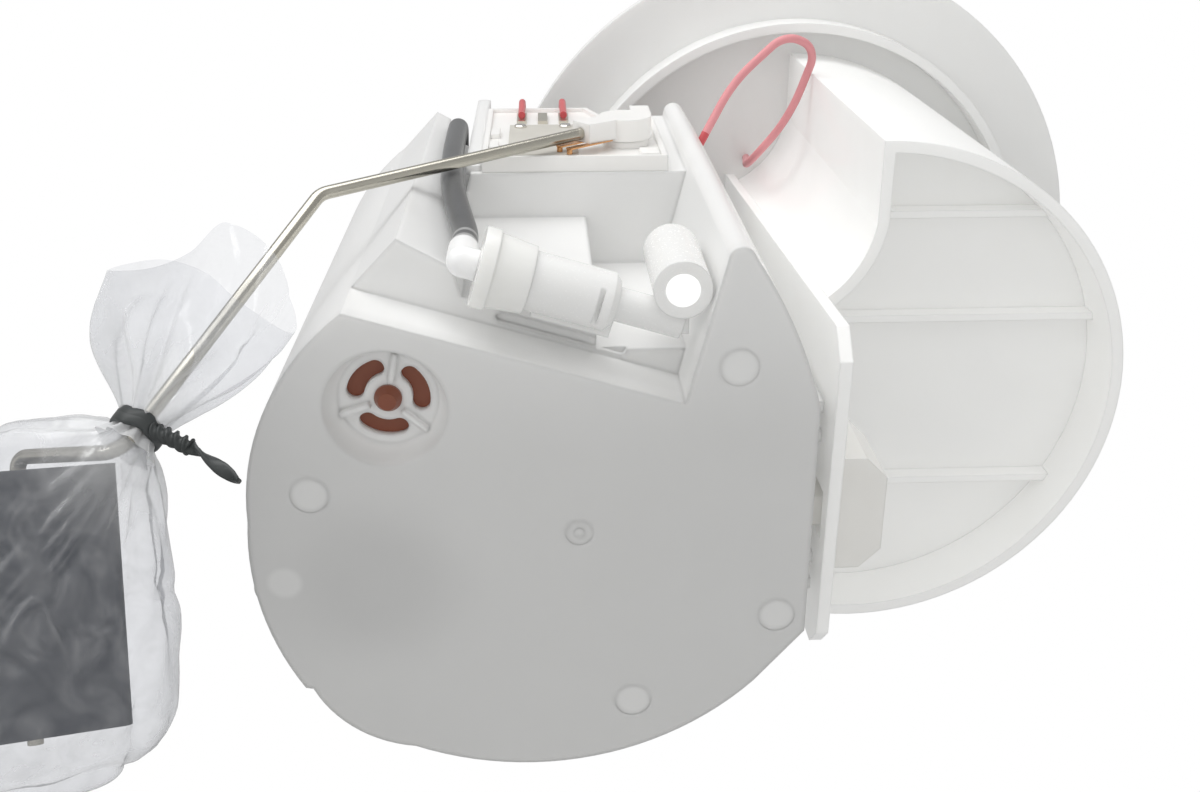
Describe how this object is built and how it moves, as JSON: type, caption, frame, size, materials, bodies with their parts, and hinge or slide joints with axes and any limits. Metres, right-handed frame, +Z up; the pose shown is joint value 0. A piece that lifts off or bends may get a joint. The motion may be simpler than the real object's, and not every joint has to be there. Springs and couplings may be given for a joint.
{
  "type": "fuel pump module",
  "caption": "In-tank fuel pump module: sliding reservoir with pump, float level sender and jet pump, hung under a round tank flange with filter housing",
  "frame": {"origin": "on the underside of the reservoir's base, near its middle", "axes": "+Z runs up along the slide from the reservoir to the flange; -Y faces the side that carries the level sender; +X points from the reservoir towards the flange's axis"},
  "size_m": [0.259, 0.159, 0.2361],
  "materials": {
    "natural_resin": "satin, slightly translucent",
    "clear_resin": "translucent, smooth",
    "valve_rubber": "matt",
    "hose_rubber": "matt, extruded",
    "line_hose": "smooth",
    "seal_rubber": "matt",
    "sleeve_rubber": "matt",
    "float_foam": "fine closed-cell skin",
    "arm_steel": "drawn wire",
    "spring_steel": "drawn wire",
    "case_steel": "plated",
    "regulator_steel": "plated",
    "shaft_steel": "ground",
    "magnet_ferrite": "matt",
    "winding_copper": "enamelled",
    "brush_carbon": "matt",
    "pump_resin": "satin",
    "strainer_mesh": "woven mesh",
    "filter_paper": "pleated paper",
    "filter_cap_resin": "satin",
    "card_ceramic": "fired",
    "rivet_tin": "bright",
    "contact_copper": "bright",
    "terminal_tin": "bright",
    "red_insulation": "smooth",
    "black_insulation": "smooth",
    "lead_insulation": "smooth",
    "bag_film": "clear film",
    "tie_wire": "plastic-coated wire"
  },
  "bodies": {
    "hanger": {"flange": "natural_resin", "outlet_stub": "natural_resin", "connector_pins": "terminal_tin", "filter_housing": "natural_resin", "filter_floor": "natural_resin", "filter_element": "filter_paper", "filter_caps": "filter_cap_resin", "slide_spring": "spring_steel", "pump_hose": "line_hose", "power_wire": "red_insulation", "ground_wire": "black_insulation"},
    "reservoir": {"reservoir_cup": "natural_resin", "inlet_valve": "valve_rubber", "spring_seat": "natural_resin", "suction_strainer": "strainer_mesh", "pump_case": "case_steel", "pump_inlet_cover": "pump_resin", "pump_mid_plate": "pump_resin", "pump_outlet_cover": "pump_resin", "carbon_brushes": "brush_carbon", "field_magnets": "magnet_ferrite", "pump_sleeve": "sleeve_rubber", "pump_retainer": "natural_resin", "pump_terminals": "terminal_tin", "regulator_holder": "natural_resin", "pressure_regulator": "regulator_steel", "regulator_seal": "seal_rubber", "regulator_clip": "natural_resin", "jet_pump_body": "natural_resin", "jet_cap": "clear_resin", "jet_nozzle": "natural_resin", "jet_hose": "hose_rubber", "sender_housing": "natural_resin", "resistor_card": "card_ceramic", "card_rivets": "rivet_tin", "sender_terminals": "terminal_tin", "sender_wires": "lead_insulation", "red_wire": "red_insulation", "black_wire": "black_insulation"},
    "rotor": {"impeller": "pump_resin", "rotor_shaft": "shaft_steel", "armature": "winding_copper"},
    "level_arm": {"arm_holder": "natural_resin", "wiper_contacts": "contact_copper", "float_arm": "arm_steel", "transit_bag": "bag_film", "bag_tie": "tie_wire"},
    "float": {"float_block": "float_foam"}
  },
  "joints": [
    {"name": "reservoir_slide", "type": "slide", "parent": "hanger", "child": "reservoir", "axis": [0, 0, 1], "range_m": [0, 0.02], "stiffness_N_per_m": 500, "springref_m": -0.05, "deforming": ["slide_spring", "pump_hose", "power_wire", "ground_wire"]},
    {"name": "pump_spin", "type": "hinge", "parent": "reservoir", "child": "rotor", "pos_m": [-0.03, 0.012, 0.05], "axis": [0, 0, 1], "continuous": true},
    {"name": "arm_swing", "type": "hinge", "parent": "reservoir", "child": "level_arm", "pos_m": [0.016, -0.055, 0.077], "axis": [0, 1, 0], "range_deg": [0, 75]},
    {"name": "float_turn", "type": "hinge", "parent": "level_arm", "child": "float", "pos_m": [-0.08735, 0.00071, -0.01598], "axis": [0.0642, 0.8922, -0.4471], "range_deg": [-12, 12]}
  ]
}
